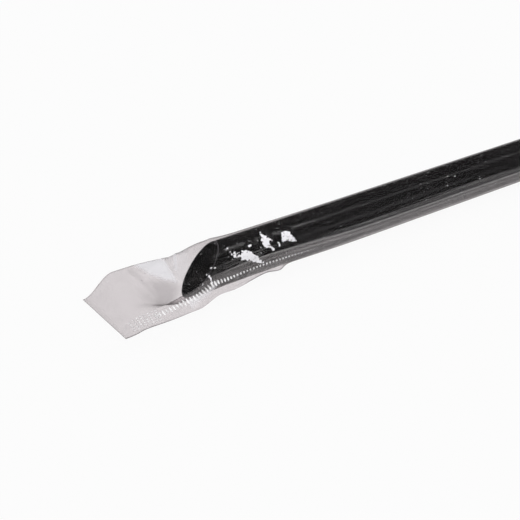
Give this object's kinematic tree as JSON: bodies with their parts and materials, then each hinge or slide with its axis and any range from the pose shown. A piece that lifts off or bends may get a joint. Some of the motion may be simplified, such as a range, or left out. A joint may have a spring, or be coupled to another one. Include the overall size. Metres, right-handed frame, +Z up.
{
  "type": "wrapped drinking straw",
  "caption": "Wide black drinking straw with a slanting pointed tip, sealed in a clear film wrapper with a crimped side fin.",
  "frame": {"origin": "middle of the wrapper's box, on the surface that the wrapped straw lies on", "axes": "+X along the straw, from its pointed tip to its square end; +Z up; the wrapper's fin is at -Y"},
  "size_m": [0.2452, 0.0264, 0.0129],
  "materials": {
    "straw_black": "glossy black",
    "clear_film": "clear thin film"
  },
  "bodies": {
    "root": {"straw": "straw_black", "film_wrapper": "clear_film"}
  },
  "joints": []
}
